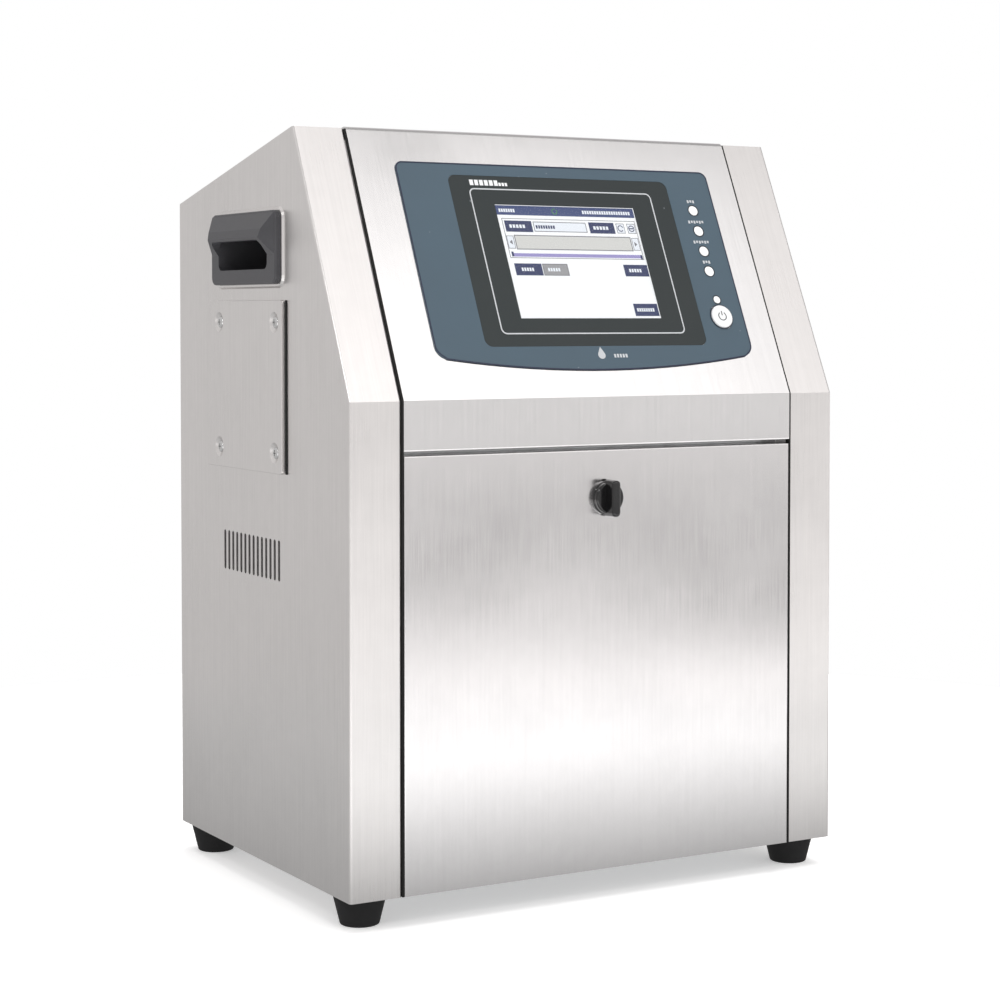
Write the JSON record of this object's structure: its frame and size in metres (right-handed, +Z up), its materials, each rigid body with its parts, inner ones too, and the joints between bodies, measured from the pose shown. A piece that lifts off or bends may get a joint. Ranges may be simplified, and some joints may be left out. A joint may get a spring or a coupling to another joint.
{
  "type": "date code inkjet printer",
  "caption": "Stainless cabinet inkjet coder with a sloped touch console, a drop-down front door over the ink section, pocket handles and rubber feet.",
  "frame": {"origin": "on the floor under the middle of the cabinet", "axes": "+Z up, -Y towards the front with door and console, +X to the right seen from the front"},
  "size_m": [0.4278, 0.325, 0.5431],
  "materials": {
    "cabinet_steel": "brushed stainless",
    "console_steel": "brushed stainless",
    "door_steel": "brushed stainless",
    "inner_steel": "plain zinc-plated sheet",
    "overlay_film": "satin blue-grey film",
    "bezel_film": "satin near-black film",
    "touch_glass": "clear",
    "lcd": "lit white display",
    "lamp_lens": "white lens",
    "button_plastic": "satin white",
    "ring_plastic": "dark satin",
    "circuit_board": "green board",
    "handle_plastic": "satin dark grey",
    "knob_plastic": "gloss black",
    "latch_metal": "zinc-plated",
    "gasket_foam": "matt black foam",
    "hinge_steel": "satin stainless",
    "foot_rubber": "matt black",
    "screw_steel": "bright stainless",
    "filter_foam": "open black foam",
    "fan_plastic": "matt black",
    "guard_wire": "bright wire",
    "gland_plastic": "matt black",
    "gland_brass": "nickel-plated brass",
    "switch_plastic": "black",
    "socket_cap": "matt black",
    "ink_tank_plastic": "milky polyethylene",
    "cap_black": "satin black",
    "cap_grey": "satin grey",
    "motor_can": "black enamel",
    "pump_steel": "machined stainless",
    "filter_plastic": "white polypropylene",
    "valve_metal": "machined and anodised",
    "hose_pu": "milky tube",
    "psu_case": "perforated sheet"
  },
  "bodies": {
    "cabinet": {"left_side_shell": "cabinet_steel", "right_side_shell": "cabinet_steel", "base_pan": "inner_steel", "roof_panel": "cabinet_steel", "rear_panel": "cabinet_steel", "inner_shelf": "inner_steel", "bulkhead": "inner_steel", "door_frame": "inner_steel", "front_left_foot": "foot_rubber", "front_right_foot": "foot_rubber", "rear_left_foot": "foot_rubber", "rear_right_foot": "foot_rubber", "foot_screws": "screw_steel", "left_handle": "handle_plastic", "right_handle": "handle_plastic", "cover_plate": "cabinet_steel", "panel_screws": "screw_steel", "vent_filters": "filter_foam", "console_panel": "console_steel", "control_overlay": "overlay_film", "screen_bezel": "bezel_film", "touch_glass": "touch_glass", "lcd_module": "lcd", "indicator_lamps": "lamp_lens", "power_button_ring": "ring_plastic", "power_switch": "switch_plastic", "control_board": "circuit_board", "hinge_fixed_leaf": "hinge_steel", "hinge_pin": "hinge_steel", "fan_frame": "fan_plastic", "fan_guard": "guard_wire", "conduit_gland": "gland_brass", "mains_gland": "gland_plastic", "mains_switch_body": "switch_plastic", "signal_sockets": "socket_cap", "drip_tray": "inner_steel", "ink_tank": "ink_tank_plastic", "solvent_tank": "ink_tank_plastic", "pump_bracket": "inner_steel", "pump_motor": "motor_can", "pump_head": "pump_steel", "main_filter": "filter_plastic", "valve_block": "valve_metal", "ink_hoses": "hose_pu", "power_supply": "psu_case", "main_board": "circuit_board"},
    "door": {"door_panel": "door_steel", "door_inner_pan": "inner_steel", "door_gasket": "gasket_foam", "hinge_moving_leaf": "hinge_steel", "latch_base": "knob_plastic", "latch_nut": "latch_metal"},
    "latch": {"latch_knob": "knob_plastic", "latch_spindle": "latch_metal", "latch_cam": "latch_metal"},
    "power_button": {"power_button": "button_plastic"},
    "fan": {"fan_rotor": "fan_plastic"},
    "ink_cap": {"ink_cap": "cap_black"},
    "solvent_cap": {"solvent_cap": "cap_grey"},
    "mains_rocker": {"mains_switch_rocker": "switch_plastic"}
  },
  "joints": [
    {"name": "door_hinge", "type": "hinge", "parent": "cabinet", "child": "door", "pos_m": [0, -0.1435, 0.0241], "axis": [1, 0, 0], "range_deg": [0, 90]},
    {"name": "latch_turn", "type": "hinge", "parent": "door", "child": "latch", "pos_m": [0, -0.15, 0.2835], "axis": [0, -1, 0], "range_deg": [0, 90]},
    {"name": "power_button_press", "type": "slide", "parent": "cabinet", "child": "power_button", "axis": [0, 0.9065, -0.4221], "range_m": [0, 0.0015], "stiffness_N_per_m": 400},
    {"name": "fan_spin", "type": "hinge", "parent": "cabinet", "child": "fan", "pos_m": [0.095, 0.13, 0.43], "axis": [0, 1, 0], "continuous": true},
    {"name": "ink_cap_turn", "type": "hinge", "parent": "cabinet", "child": "ink_cap", "pos_m": [-0.093, -0.074, 0.1775], "axis": [0, 0, 1], "range_deg": [0, 90]},
    {"name": "solvent_cap_turn", "type": "hinge", "parent": "cabinet", "child": "solvent_cap", "pos_m": [0.005, -0.074, 0.1575], "axis": [0, 0, 1], "range_deg": [0, 90]},
    {"name": "mains_switch_rock", "type": "hinge", "parent": "cabinet", "child": "mains_rocker", "pos_m": [0.085, 0.1455, 0.08], "axis": [1, 0, 0], "range_deg": [-18, 0]}
  ]
}
